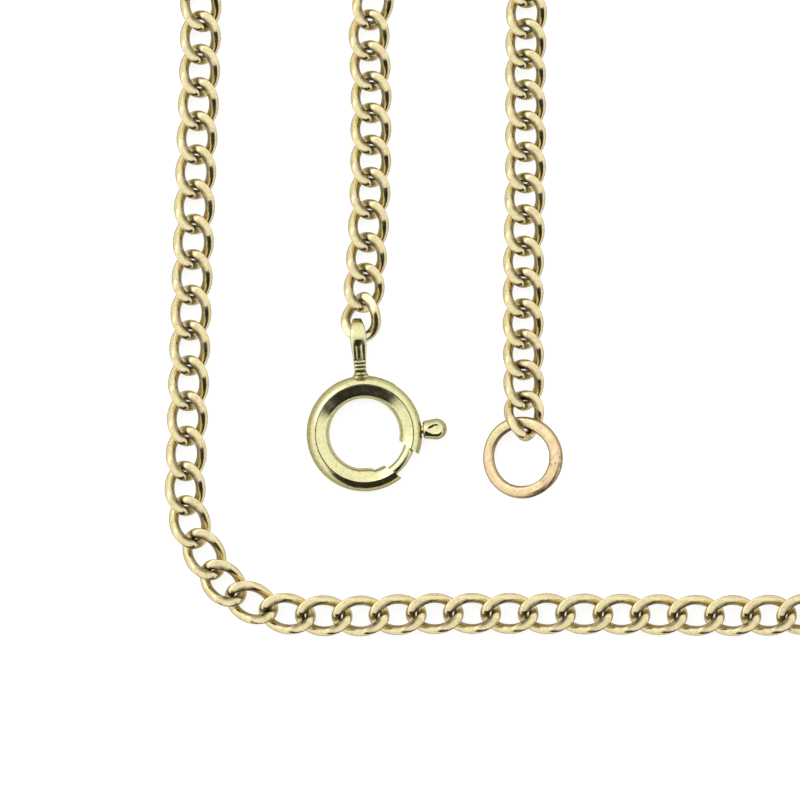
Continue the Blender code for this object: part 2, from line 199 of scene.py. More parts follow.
class StageSizes(bpy.types.PropertyGroup):
    """The table, the camera and the light."""

    view_width: length("View width", "Width of table that the camera sees", 48.28 * MM)
    view_x: length("View X", "Middle of the view", -8.4025 * MM)
    view_y: length("View Y", "Middle of the view", -9.465 * MM)
    camera_height: length("Camera height", "How far up the camera is", 0.5)
    table: length("Table", "Width of the table", 1.5)
    glow: FloatProperty(name="Glow", description="Light that comes up through the table", default=0.80)
    tent: FloatProperty(name="Tent", description="Brightness of the white tent", default=1.2)
    lamp: FloatProperty(name="Lamp", description="Power of the soft lamp", default=0.35, unit="POWER")


class NodeWorks:
    """Adds nodes to a tree, in reading order, and joins them up."""

    def __init__(self, tree):
        self.tree = tree
        self.count = 0

    def add(self, kind, *inputs, **settings):
        node = self.tree.nodes.new(kind)
        node.location = (200 * (self.count % 8), -260 * (self.count // 8))
        self.count += 1
        for name, value in settings.items():
            setattr(node, name, value)
        for index, value in enumerate(inputs):
            self.feed(node, index, value)
        return node

    def feed(self, node, key, value):
        if value is None:
            return
        if isinstance(value, bpy.types.NodeSocket):
            self.tree.links.new(value, node.inputs[key])
        else:
            node.inputs[key].default_value = value

    def math(self, operation, *inputs, kind="ShaderNodeMath"):
        return self.add(kind, *inputs, operation=operation).outputs[0]

    def ramp(self, value, low, high, low_out=0.0, high_out=1.0):
        """A value carried smoothly from one range to another."""
        node = self.add("ShaderNodeMapRange", value, low, high, low_out, high_out)
        node.interpolation_type = "SMOOTHSTEP"
        return node.outputs[0]


# --- Finishes -------------------------------------------------------------------------------------


# How fine each feature of the metal is: how many there are to a metre.
PATCH_SCALE = 2600.0
MOTTLE_SCALE = 6500.0
SMEAR_SCALE = 1700.0
SCRATCH_SCALE = 2500.0
PIT_SCALE = 5200.0
WAVE_SCALE = 1300.0
DRAWN_LINE_SCALE = 6000.0

# The second tint of each gold, in patches.
CHAIN_PATCH = (0.82, 0.66, 0.42)
CLASP_PATCH = (0.74, 0.68, 0.41)
RING_PATCH = (0.70, 0.62, 0.34)

# Painted shade at the edges: how far a surface is turned from sight where each gold starts to be painted
# darker, and where it is darkest.
EDGES = {
    "worn_chain_gold": (0.26, 0.76),
    "worn_clasp_gold": (0.10, 0.62),
    "worn_ring_gold": (0.08, 0.60),
}


def gold(name, base, roughness, tarnish_and_shade_colour, patch, wear=True):
    """Worn gold: patches of tint, pits, fine scratches, painted shade with some tarnish where the metal is
    marked for it, and painted shade at the edges that turn away from sight.
    """
    material = bpy.data.materials.new(name)
    material.use_nodes = True
    works = NodeWorks(material.node_tree)
    shader = material.node_tree.nodes["Principled BSDF"]
    shader.inputs["Metallic"].default_value = 1.0
    place = works.add("ShaderNodeTexCoord").outputs["Object"]

    tint = works.add("ShaderNodeTexNoise", place, None, PATCH_SCALE, 3.0)
    tint_share = works.ramp(tint.outputs["Fac"], 0.4, 0.65)
    tinted = works.add("ShaderNodeAttribute", attribute_name="tint").outputs["Fac"]
    tint_share = works.math("MAXIMUM", works.math("MULTIPLY", tint_share, 0.8), tinted)
    patches = works.add("ShaderNodeMix", data_type="RGBA")
    works.feed(patches, "Factor", tint_share)
    works.feed(patches, 6, (*base, 1))
    works.feed(patches, 7, (*patch, 1))

    # Painted shade with some tarnish: the points marked for it are darkened towards the dark brown, broken
    # up by noise.
    crease = works.add("ShaderNodeAttribute", attribute_name="crease").outputs["Fac"]
    shade_and_grime_noise = works.add("ShaderNodeTexNoise", place, None, PATCH_SCALE, 4.0).outputs["Fac"]
    shade_and_grime_share = works.math("MULTIPLY", crease, works.ramp(shade_and_grime_noise, 0.25, 0.7, 0.6, 1.0))
    shade_and_grime_mix = works.add("ShaderNodeMix", data_type="RGBA")
    works.feed(shade_and_grime_mix, "Factor", shade_and_grime_share)
    works.feed(shade_and_grime_mix, 6, patches.outputs[2])
    works.feed(shade_and_grime_mix, 7, (*tarnish_and_shade_colour, 1))
    # Painted shade: surfaces that turn away from sight are darkened towards a dark brown, as a dark room
    # would show in them; random mottle adds darker patches on top.
    edge = works.add("ShaderNodeLayerWeight", 0.5).outputs["Facing"]
    mottle = works.add("ShaderNodeTexNoise", place, None, MOTTLE_SCALE, 2.0).outputs["Fac"]
    painted_edge_shade_and_mottle = works.math("MULTIPLY", works.ramp(edge, *EDGES[name]), 0.9)
    painted_edge_shade_and_mottle = works.math("ADD", painted_edge_shade_and_mottle, works.ramp(mottle, 0.45, 0.75, 0.0, 0.28))
    shaded_and_mottled = works.add("ShaderNodeMix", data_type="RGBA")
    works.feed(shaded_and_mottled, "Factor", works.math("MINIMUM", painted_edge_shade_and_mottle, 1.0))
    works.feed(shaded_and_mottled, 6, shade_and_grime_mix.outputs[2])
    works.feed(shaded_and_mottled, 7, (0.30 * base[0], 0.25 * base[1], 0.07 * base[2], 1))
    works.feed(shader, "Base Color", shaded_and_mottled.outputs[2])

    planed = works.add("ShaderNodeAttribute", attribute_name="planed").outputs["Fac"]
    smear = works.add("ShaderNodeTexNoise", place, None, SMEAR_SCALE, 5.0).outputs["Fac"]
    dull = works.ramp(smear, 0.3, 0.75, roughness * 0.7, roughness * 1.5)
    dull = works.math("ADD", dull, works.math("MULTIPLY", planed, 0.10))
    dull = works.math("ADD", dull, works.math("MULTIPLY", shade_and_grime_share, 0.25))
    works.feed(shader, "Roughness", dull)

    stretch = works.add("ShaderNodeMapping", place)
    stretch.inputs["Rotation"].default_value = (0.3, 0.2, 0.7)
    stretch.inputs["Scale"].default_value = (1, 9, 4)
    scratches = works.add("ShaderNodeTexNoise", stretch.outputs[0], None, SCRATCH_SCALE, 2.0).outputs["Fac"]
    pits = works.add("ShaderNodeTexVoronoi", place, None, PIT_SCALE)
    pit_depth = works.ramp(pits.outputs["Distance"], 0.05, 0.28)
    waves = works.add("ShaderNodeTexNoise", place, None, WAVE_SCALE, 1.0).outputs["Fac"]
    height = works.math("MULTIPLY", scratches, 0.25)
    height = works.math("ADD", height, works.math("MULTIPLY", pit_depth, 0.35))
    height = works.math("ADD", height, works.math("MULTIPLY", waves, 1.6 if wear else 0.6))
    bump = works.add("ShaderNodeBump")
    bump.inputs["Strength"].default_value = 0.5 if wear else 0.38
    bump.inputs["Distance"].default_value = 0.012 * MM
    works.feed(bump, "Height", height)
    works.feed(shader, "Normal", bump.outputs[0])
    return material


def drawn_steel(name, base):
    """Bright drawn wire, with fine lines along it."""
    material = bpy.data.materials.new(name)
    material.use_nodes = True
    works = NodeWorks(material.node_tree)
    shader = material.node_tree.nodes["Principled BSDF"]
    shader.inputs["Metallic"].default_value = 1.0
    shader.inputs["Base Color"].default_value = (*base, 1)
    place = works.add("ShaderNodeTexCoord").outputs["Object"]
    lines = works.add("ShaderNodeTexNoise", place, None, DRAWN_LINE_SCALE, 2.0).outputs["Fac"]
    works.feed(shader, "Roughness", works.ramp(lines, 0.3, 0.7, 0.2, 0.4))
    return material


def white_table(name, base, glow):
    """A pale table, evenly lit from below as well as above."""
    material = bpy.data.materials.new(name)
    material.use_nodes = True
    shader = material.node_tree.nodes["Principled BSDF"]
    shader.inputs["Base Color"].default_value = (*base, 1)
    shader.inputs["Roughness"].default_value = 0.9
    shader.inputs["Specular IOR Level"].default_value = 0.1
    shader.inputs["Emission Color"].default_value = (1, 1, 1, 1)
    shader.inputs["Emission Strength"].default_value = glow
    return material


MADE = set()


def finish(name):
    """The material of that name, made the first time that it is asked for."""
    if name in bpy.data.materials and name in MADE:
        return bpy.data.materials[name]
    MADE.add(name)
    looks = bpy.context.scene.chain_finishes
    if name == "worn_chain_gold":
        return gold(name, looks.chain, 0.20, looks.tarnish_and_shade_colour, CHAIN_PATCH)
    if name == "worn_clasp_gold":
        return gold(name, looks.clasp, 0.15, looks.tarnish_and_shade_colour, CLASP_PATCH, wear=False)
    if name == "worn_ring_gold":
        return gold(name, looks.ring, 0.34, looks.tarnish_and_shade_colour, RING_PATCH)
    return drawn_steel(name, looks.spring)


# --- Meshes ---------------------------------------------------------------------------------------


def add_object(name, mesh):
    thing = bpy.data.objects.new(name, mesh)
    bpy.context.scene.collection.objects.link(thing)
    return thing


def hand_over(piece, material, body, slot, *nodes):
    """Gives a finished piece its finish, its body and the nodes that it stands for."""
    if material is not None:
        piece.data.materials.clear()
        piece.data.materials.append(material)
    piece.data.shade_smooth()
    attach(piece, body)
    if nodes:
        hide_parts(*nodes)
    return piece


def mark(mesh, name, values):
    """Stores a number for each point, for a material to read."""
    layer = mesh.attributes.new(name, "FLOAT", "POINT")
    layer.data.foreach_set("value", [float(value) for value in values])


def loft(name, sections, closed=False):
    """A skin over rings of points, one ring after another, with its ends filled unless it closes up."""
    body = bmesh.new()
    rings = [[body.verts.new(point) for point in section] for section in sections]
    sides = len(rings[0])
    pairs = list(zip(rings, rings[1:]))
    if closed:
        pairs.append((rings[-1], rings[0]))
    for ring, after in pairs:
        for side in range(sides):
            other = (side + 1) % sides
            body.faces.new((ring[side], ring[other], after[other], after[side]))
    if not closed:
        body.faces.new(rings[0])
        body.faces.new(rings[-1])
    bmesh.ops.recalc_face_normals(body, faces=body.faces)
    mesh = bpy.data.meshes.new(name)
    body.to_mesh(mesh)
    body.free()
    return mesh


def clamp(value):
    return max(0.0, min(1.0, value))


def circle(radius, sides):
    turns = [2 * math.pi * side / sides for side in range(sides)]
    return [(radius * math.cos(turn), radius * math.sin(turn)) for turn in turns]


def around(radius, turn, out, up):
    """A point beside an arc about the Z axis: out from the arc, and up."""
    return Vector(((radius + out) * math.cos(turn), (radius + out) * math.sin(turn), up))


def arc_tube(name, radius, start, end, steps, section):
    """A section swept along an arc about the Z axis."""
    turns = [start + (end - start) * step / steps for step in range(steps + 1)]
    return loft(name, [[around(radius, turn, *point) for point in section] for turn in turns])


def turned(name, profile, sides):
    """A turned shape about the X axis: (place along it, radius) from end to end."""
    sections = []
    for along, radius in profile:
        sections.append([Vector((along, y, z)) for y, z in circle(radius, sides)])
    return loft(name, sections)


def carve(target, *cutters):
    """Cuts meshes out of another, for good."""
    for index, mesh in enumerate(cutters):
        tool = add_object(f"cutter_{index}", mesh)
        modifier = target.modifiers.new(f"cut_{index}", "BOOLEAN")
        modifier.operation = "DIFFERENCE"
        modifier.object = tool
    settle(target)
    for index in range(len(cutters)):
        bpy.data.objects.remove(bpy.data.objects[f"cutter_{index}"])


def settle(target):
    """Makes an object's modifiers part of its mesh."""
    graph = bpy.context.evaluated_depsgraph_get()
    mesh = bpy.data.meshes.new_from_object(target.evaluated_get(graph))
    target.modifiers.clear()
    target.data = mesh


def node_points(node):
    """The distinct points of a frame node."""
    return np.unique(np.round([tuple(v.co) for v in frame["nodes"][node].data.vertices], 7), axis=0)


# --- Where things lie -----------------------------------------------------------------------------


def link_place(node):
    """A link's middle, its three axes and its length. They are its principal axes, because it is the
    same from either end and from either face."""
    points = node_points(node)
    middle = (points.min(axis=0) + points.max(axis=0)) / 2
    _, axes = np.linalg.eigh(np.cov((points - points.mean(axis=0)).T))
    along, across = axes[:, 2], axes[:, 1]
    return Vector(middle), frame_from(Vector(along), Vector(across)), np.ptp(points @ along)


def frame_from(along, across):
    up = along.cross(across).normalized()
    if up.z < 0:
        up = -up
    across = up.cross(along).normalized()
    return Matrix((along.normalized(), across, up)).transposed()


def route_slope(index):
    """How far the route moves on for each link, at one of its points."""
    (before, *start), (here, *middle), (after, *end) = LOOP_ROUTE[index - 1 : index + 2]
    slope_in = (Vector(middle) - Vector(start)) / (here - before)
    slope_out = (Vector(end) - Vector(middle)) / (after - here)
    return (slope_in * (after - here) + slope_out * (here - before)) / (after - before)


def route_point(number):
    """A link's middle on the drawing, and the step from there to the next link."""
    index = max(i for i in range(1, len(LOOP_ROUTE) - 2) if LOOP_ROUTE[i][0] <= number)
    (low, *start), (high, *end) = LOOP_ROUTE[index], LOOP_ROUTE[index + 1]
    span = high - low
    t = (number - low) / span
    start, end = Vector(start), Vector(end)
    leave, arrive = route_slope(index) * span, route_slope(index + 1) * span
    point = start * (2 * t**3 - 3 * t**2 + 1) + leave * (t**3 - 2 * t**2 + t)
    point += end * (3 * t**2 - 2 * t**3) + arrive * (t**3 - t**2)
    slope = (start - end) * (6 * t**2 - 6 * t) + leave * (3 * t**2 - 4 * t + 1)
    slope += arrive * (3 * t**2 - 2 * t)
    return point.to_3d() * MM, slope.to_3d() * MM / span


def loop_places(node, grip):
    """Where the links of a loop lie: the drawing moved to where the corner link is in the frame."""
    first, last = (int(word) for word in node.split("_")[1::2])
    shift = link_place(CORNER_LINK)[0] - CORNER_ON_ROUTE
    places = []
    for number in range(first, last + 1):
        point, step = route_point(number)
        axes = frame_from(step.normalized(), Vector((-step.y, step.x, 0)))
        places.append((point + shift, axes, step.length + grip))
    return places


# --- Links ----------------------------------------------------------------------------------------


def curb_link_tree():
    """Geometry nodes that put one curb link on each point of a mesh."""
    tree = bpy.data.node_groups.new("Curb Links", "GeometryNodeTree")
    face = tree.interface
    face.new_socket("Points", in_out="INPUT", socket_type="NodeSocketGeometry")
    for name in ("Half Length", "Half Width", "Wire Radius", "Planed Height", "Softness"):
        face.new_socket(name, in_out="INPUT", socket_type="NodeSocketFloat").subtype = "DISTANCE"
    face.new_socket("Twist", in_out="INPUT", socket_type="NodeSocketFloat").subtype = "ANGLE"
    face.new_socket("Roundness", in_out="INPUT", socket_type="NodeSocketFloat")
    face.new_socket("Steps", in_out="INPUT", socket_type="NodeSocketInt")
    face.new_socket("Sides", in_out="INPUT", socket_type="NodeSocketInt")
    face.new_socket("Material", in_out="INPUT", socket_type="NodeSocketMaterial")
    face.new_socket("Links", in_out="OUTPUT", socket_type="NodeSocketGeometry")
    works = NodeWorks(tree)
    given = works.add("NodeGroupInput").outputs

    turn = works.add("GeometryNodeSplineParameter").outputs["Factor"]
    turn = works.math("MULTIPLY", turn, 2 * math.pi)
    reach = []
    for wave in ("COSINE", "SINE"):
        swing = works.math(wave, turn)
        size = works.math("POWER", works.math("ABSOLUTE", swing), given["Roundness"])
        reach.append(works.math("MULTIPLY", size, works.math("SIGN", swing)))
    along, across = reach
    lean = works.math("MULTIPLY", works.math("MULTIPLY", along, given["Twist"]), -1.0)
    across = works.math("MULTIPLY", across, given["Half Width"])
    centre = works.add(
        "ShaderNodeCombineXYZ",
        works.math("MULTIPLY", along, given["Half Length"]),
        works.math("MULTIPLY", across, works.math("COSINE", lean)),
        works.math("MULTIPLY", across, works.math("SINE", lean)),
    ).outputs[0]
    line = works.add("GeometryNodeCurvePrimitiveCircle")
    works.feed(line, "Resolution", given["Steps"])
    line = works.add("GeometryNodeSetPosition", line.outputs["Curve"], None, centre).outputs[0]

    outline = works.add("GeometryNodeCurvePrimitiveCircle")
    works.feed(outline, "Resolution", given["Sides"])
    works.feed(outline, "Radius", given["Wire Radius"])
    wire = works.add("GeometryNodeCurveToMesh", line, outline.outputs["Curve"]).outputs[0]

    spot = works.add("ShaderNodeSeparateXYZ", works.add("GeometryNodeInputPosition").outputs[0]).outputs
    top = works.math("SMOOTH_MIN", spot["Z"], given["Planed Height"], given["Softness"])
    bottom = works.math("MULTIPLY", given["Planed Height"], -1.0)
    flat = works.math("SMOOTH_MAX", top, bottom, given["Softness"])
    cut = works.math("ABSOLUTE", works.math("SUBTRACT", spot["Z"], flat))
    planed = works.ramp(works.math("DIVIDE", cut, given["Softness"]), 0.15, 0.8)
    # Painted shade: the wire's sides that face inward, most of all near the link's ends, are marked to be
    # darkened.
    facing = works.add("ShaderNodeSeparateXYZ", works.add("GeometryNodeInputNormal").outputs[0]).outputs
    inward = works.math("MULTIPLY", spot["Y"], facing["Y"])
    inward = works.math("ADD", inward, works.math("MULTIPLY", spot["X"], facing["X"]))
    inward = works.math("DIVIDE", inward, given["Half Width"])
    ends = works.math("DIVIDE", works.math("ABSOLUTE", spot["X"]), given["Half Length"])
    crease = works.math("MULTIPLY", works.ramp(inward, -0.05, -0.6), works.ramp(ends, 0.2, 0.75, 0.75, 1.0))
    for name, value in (("planed", planed), ("crease", crease)):
        store = works.add("GeometryNodeStoreNamedAttribute", wire, data_type="FLOAT", domain="POINT")
        works.feed(store, "Name", name)
        works.feed(store, "Value", value)
        wire = store.outputs[0]
    place = works.add("ShaderNodeCombineXYZ", spot["X"], spot["Y"], flat).outputs[0]
    link = works.add("GeometryNodeSetPosition", wire, None, place).outputs[0]

    lie = works.add("GeometryNodeInputNamedAttribute", "lie", data_type="FLOAT_VECTOR").outputs["Attribute"]
    copies = works.add("GeometryNodeInstanceOnPoints", given["Points"], None, link)
    works.feed(copies, "Rotation", lie)
    stretch = works.add("GeometryNodeInputNamedAttribute", "stretch", data_type="FLOAT").outputs["Attribute"]
    works.feed(copies, "Scale", works.add("ShaderNodeCombineXYZ", stretch, 1.0, 1.0).outputs[0])
    solid = works.add("GeometryNodeRealizeInstances", copies.outputs[0]).outputs[0]
    smooth = works.add("GeometryNodeSetShadeSmooth", solid).outputs[0]
    done = works.add("GeometryNodeSetMaterial", smooth)
    works.feed(done, "Material", given["Material"])
    works.add("NodeGroupOutput", done.outputs[0])
    return tree


def make_links(name, places, sizes, material, tree):
    """A plain mesh of curb links, one at each place."""
    mesh = bpy.data.meshes.new(name)
    mesh.from_pydata([middle for middle, _, _ in places], [], [])
    layer = mesh.attributes.new("lie", "FLOAT_VECTOR", "POINT")
    for index, (_, axes, _) in enumerate(places):
        layer.data[index].vector = axes.to_euler()
    usual = sum(long for _, _, long in places) / len(places)
    mark(mesh, "stretch", [long / usual for _, _, long in places])
    piece = add_object(name, mesh)
    modifier = piece.modifiers.new("Curb Links", "NODES")
    modifier.node_group = tree
    values = {
        "Half Length": (usual - sizes.wire) / 2,
        "Half Width": (sizes.width - sizes.wire) / 2,
        "Wire Radius": sizes.wire / 2,
        "Planed Height": sizes.planed,
        "Softness": sizes.softness,
        "Twist": sizes.twist,
        "Roundness": 2 / sizes.squareness,
        "Steps": sizes.steps,
        "Sides": sizes.sides,
        "Material": material,
    }
    for socket in tree.interface.items_tree:
        if socket.in_out == "INPUT" and socket.name in values:
            modifier[socket.identifier] = values[socket.name]
    settle(piece)
    return piece


class CHAIN_OT_open_links(bpy.types.Operator):
    """Make the links of the open runs and of the corner, each on its own body"""

    bl_idname = "chain.open_links"
    bl_label = "Open links"

    def execute(self, context):
        tree = curb_link_tree()
        sizes = context.scene.chain_links
        for node in SINGLE_LINKS:
            places = [link_place(node)]
            piece = make_links(f"curb_{node}", places, sizes, finish("worn_chain_gold"), tree)
            hand_over(piece, None, node, "chain_gold", node)
        return {"FINISHED"}


class CHAIN_OT_loop_links(bpy.types.Operator):
    """Make the links of the loops outside the open runs, one stretch on each body"""

    bl_idname = "chain.loop_links"
    bl_label = "Loop links"

    def execute(self, context):
        tree = bpy.data.node_groups["Curb Links"]
        sizes = context.scene.chain_links
        for node in RIBBONS:
            places = loop_places(node, sizes.grip)
            piece = make_links(f"curb_{node}", places, sizes, finish("worn_chain_gold"), tree)
            hand_over(piece, None, node, "chain_gold", node)
        return {"FINISHED"}


# --- Bolt ring ------------------------------------------------------------------------------------


def clasp_centre():
    return Vector(JOINTS["clasp_tongue"]["pos_m"])


# The tube's outline by the angle from its outer side, in degrees, with how deep each point is sunk in
# mm: a groove along the top, then a flat band, and two fine steps on the inner wall.
TUBE_TOP = (
    (72, 0),
    (75, 0),
    (76.5, 0.06),
    (79, 0.06),
    (80.5, 0),
    (90, 0),
    (104, 0),
    (118, 0),
    (130, 0),
    (137, 0),
    (138.5, 0.035),
    (141, 0.035),
    (142.5, 0),
    (152, 0),
    (153.5, 0.035),
    (156, 0.035),
    (157.5, 0),
    (166, 0),
    (173, 0),
)
BAND = (math.radians(80.5), math.radians(130))

# The wall inside the tube that the spring pushes against, and the slot that the knob slides along.
RING_STEPS = 144
BORE_STEPS = 120
STOP = math.radians(107)
STOP_HALF = math.radians(2)
SLOT_REACH = (math.radians(-6), math.radians(54))
SLOT_OUT = 0.5 * MM
SLOT_RISE = 0.29 * MM
MOUTH_BLOCK = 3 * MM


def tube_section(radius):
    """The tube's outline: round outside, with a grooved ridge, and a flat band inside it. Each point
    comes with how much painted shade it gets: the sunk points of the groove and steps are darkened."""
    outline = [(turn, 0) for turn in range(0, 70, 9)] + list(TUBE_TOP)
    outline += [(turn, 0) for turn in range(180, 360, 9)]
    middle, half = (BAND[0] + BAND[1]) / 2, (BAND[1] - BAND[0]) / 2
    points = []
    for degrees, sunk in outline:
        turn = math.radians(degrees)
        reach = radius - sunk * MM
        if BAND[0] <= turn <= BAND[1]:
            reach *= math.cos(half) / math.cos(turn - middle)
        points.append((reach * math.cos(turn), reach * math.sin(turn), 0.9 if sunk else 0))
    return points


def inner_dent(turn):
    """How far the hole's edge is pushed in or worn back near the mouth."""
    degrees = math.degrees(turn)
    bulge = 0.05 * math.exp(-(((degrees - 272) / 8) ** 2))
    worn = 0.11 * clamp((degrees - 281) / 4) * (degrees < 330)
    return (worn - bulge) * MM


class CHAIN_OT_bolt_ring(bpy.types.Operator):
    """Make the bolt ring's tube, with its bore, mouth and slot"""

    bl_idname = "chain.bolt_ring"
    bl_label = "Bolt ring"

    def execute(self, context):
        sizes = context.scene.chain_clasp
        full = 2 * math.pi
        turns = [full * step / RING_STEPS for step in range(RING_STEPS)]
        section = tube_section(sizes.tube)
        rings = []
        for turn in turns:
            dent = inner_dent(turn)
            outline = []
            for out, up, _ in section:
                inside = max(0.0, -out / sizes.tube)
                outline.append(around(sizes.radius, turn, out + dent * inside, up))
            rings.append(outline)
        tube = loft("bolt_ring_tube", rings, closed=True)
        # Painted shade: the sunk points of the groove and steps are darkened.
        mark(tube, "crease", [held for _ in turns for _, _, held in section])
        ring = add_object("bolt_ring_tube", tube)
        low, high = STOP + STOP_HALF, STOP - STOP_HALF + full
        bore = arc_tube("bore", sizes.radius, low, high, BORE_STEPS, circle(sizes.bore, 20))
        low, high = (sizes.knob_angle + reach for reach in SLOT_REACH)
        slot = arc_tube("slot", sizes.radius + SLOT_OUT, low, high, 30, circle(SLOT_RISE, 16))
        carve(ring, bore, mouth_block(sizes), slot)
        ring.data.transform(Matrix.Translation(clasp_centre()))
        hand_over(ring, finish("worn_clasp_gold"), "clasp", "clasp_gold", "clasp_body")
        ring.data.set_sharp_from_angle(angle=math.radians(32))
        return {"FINISHED"}


def mouth_block(sizes):
    """The block that the mouth's parallel faces are cut with."""
    body = bmesh.new()
    bmesh.ops.create_cube(body, size=1)
    size = Matrix.Diagonal((MOUTH_BLOCK, sizes.mouth_width, MOUTH_BLOCK, 1))
    place = Matrix.Rotation(sizes.mouth_angle, 4, "Z") @ Matrix.Translation((sizes.radius, 0, 0))
    body.transform(place @ size)
    mesh = bpy.data.meshes.new("mouth")
    body.to_mesh(mesh)
    body.free()
    return mesh


class CHAIN_OT_tongue(bpy.types.Operator):
    """Make the sprung tongue and its knob"""

    bl_idname = "chain.tongue"
    bl_label = "Tongue and knob"

    def execute(self, context):
        sizes = context.scene.chain_clasp
        wire = circle(sizes.tongue, 24)
        arc = arc_tube("tongue_wire", sizes.radius, math.radians(-65), math.radians(10), 40, wire)
        tongue = add_object("tongue_wire", arc)
        tongue.data.transform(Matrix.Translation(clasp_centre()))
        hand_over(tongue, finish("worn_clasp_gold"), "clasp_tongue", "clasp_gold", "clasp_tongue")
        tongue.data.set_sharp_from_angle(angle=math.radians(50))
        knob = add_object("tongue_knob", turned("tongue_knob", self.profile(sizes), 64))
        self.press(knob.data)
        turn = Matrix.Rotation(sizes.knob_angle, 4, "Z")
        knob.data.transform(Matrix.Translation(clasp_centre()) @ turn)
        hand_over(knob, finish("worn_clasp_gold"), "clasp_tongue", "clasp_gold")
        knob.data.set_sharp_from_angle(angle=math.radians(50))
        return {"FINISHED"}

    def profile(self, sizes):
        """The knob's outline: a neck, and a thumb-piece that widens to a round end."""
        neck, base = 0.25 * MM, 0.53 * MM
        base_at = sizes.radius + sizes.tube + 0.08 * MM
        cone_at = base_at + 0.02 * MM
        points = [(sizes.radius + 0.1 * MM, neck), (base_at - 0.04 * MM, neck)]
        points += [(base_at - 0.03 * MM, base * 0.9), (cone_at, base)]
        shoulder = math.radians(80)
        widest = sizes.knob_centre - sizes.knob * math.cos(shoulder)
        wide = sizes.knob * math.sin(shoulder)
        steps = 18
        for step in range(1, steps):
            t = step / steps
            points.append((cone_at + (widest - cone_at) * t, base + (wide - base) * t))
        for step in range(steps * 2 + 1):
            turn = shoulder + (math.pi - shoulder) * step / (steps * 2)
            along = sizes.knob_centre - sizes.knob * math.cos(turn)
            points.append((along, max(sizes.knob * math.sin(turn), 0.004 * MM)))
        return points

    def press(self, mesh):
        """Presses the thumb's hollow into the top, drawn out to a point towards the ring."""
        middle, half_long, half_wide, depth = 4.20 * MM, 0.42 * MM, 0.29 * MM, 0.13 * MM
        for vertex in mesh.vertices:
            along = (vertex.co.x - middle) / half_long
            across = vertex.co.y / (half_wide * (1 + 0.3 * along))
            near = along**2 + across**2
            if vertex.co.z > 0 and near < 1:
                vertex.co.z -= depth * (1 - near) ** 0.6


class CHAIN_OT_return_spring(bpy.types.Operator):
    """Make the coil spring that shuts the tongue"""

    bl_idname = "chain.return_spring"
    bl_label = "Return spring"

    def execute(self, context):
        sizes = context.scene.chain_clasp
        start, end = math.radians(12.5), math.radians(102.5)
        turns, each = 14, 14
        coil, wire = 0.25 * MM, 0.055 * MM
        points = []
        for step in range(turns * each + 1):
            along = start + (end - start) * step / (turns * each)
            turn = 2 * math.pi * step / each
            points.append(around(sizes.radius, along, coil * math.cos(turn), coil * math.sin(turn)))
        sections = []
        for index, point in enumerate(points):
            before, after = points[max(index - 1, 0)], points[min(index + 1, len(points) - 1)]
            along = (after - before).normalized()
            out = Vector((point.x, point.y, 0)).normalized()
            side = along.cross(out).normalized()
            out = side.cross(along)
            sections.append([point + out * a + side * b for a, b in circle(wire, 8)])
        spring = add_object("return_spring", loft("return_spring", sections))
        spring.data.transform(Matrix.Translation(clasp_centre()))
        hand_over(spring, finish("drawn_spring_steel"), "clasp", "spring_steel", "clasp_spring")
        return {"FINISHED"}


# The eye's groove and solder, by how far they are from the middle of the bolt ring.
GROOVE_TOP = 5.65 * MM
GROOVE_FOOT = 4.35 * MM
SOLDER_TOP = 4.55 * MM
BEND_STEPS = 24
LEG_STEPS = 60
STRAP_SIDES = 48
SOLDER_SIDES = 28


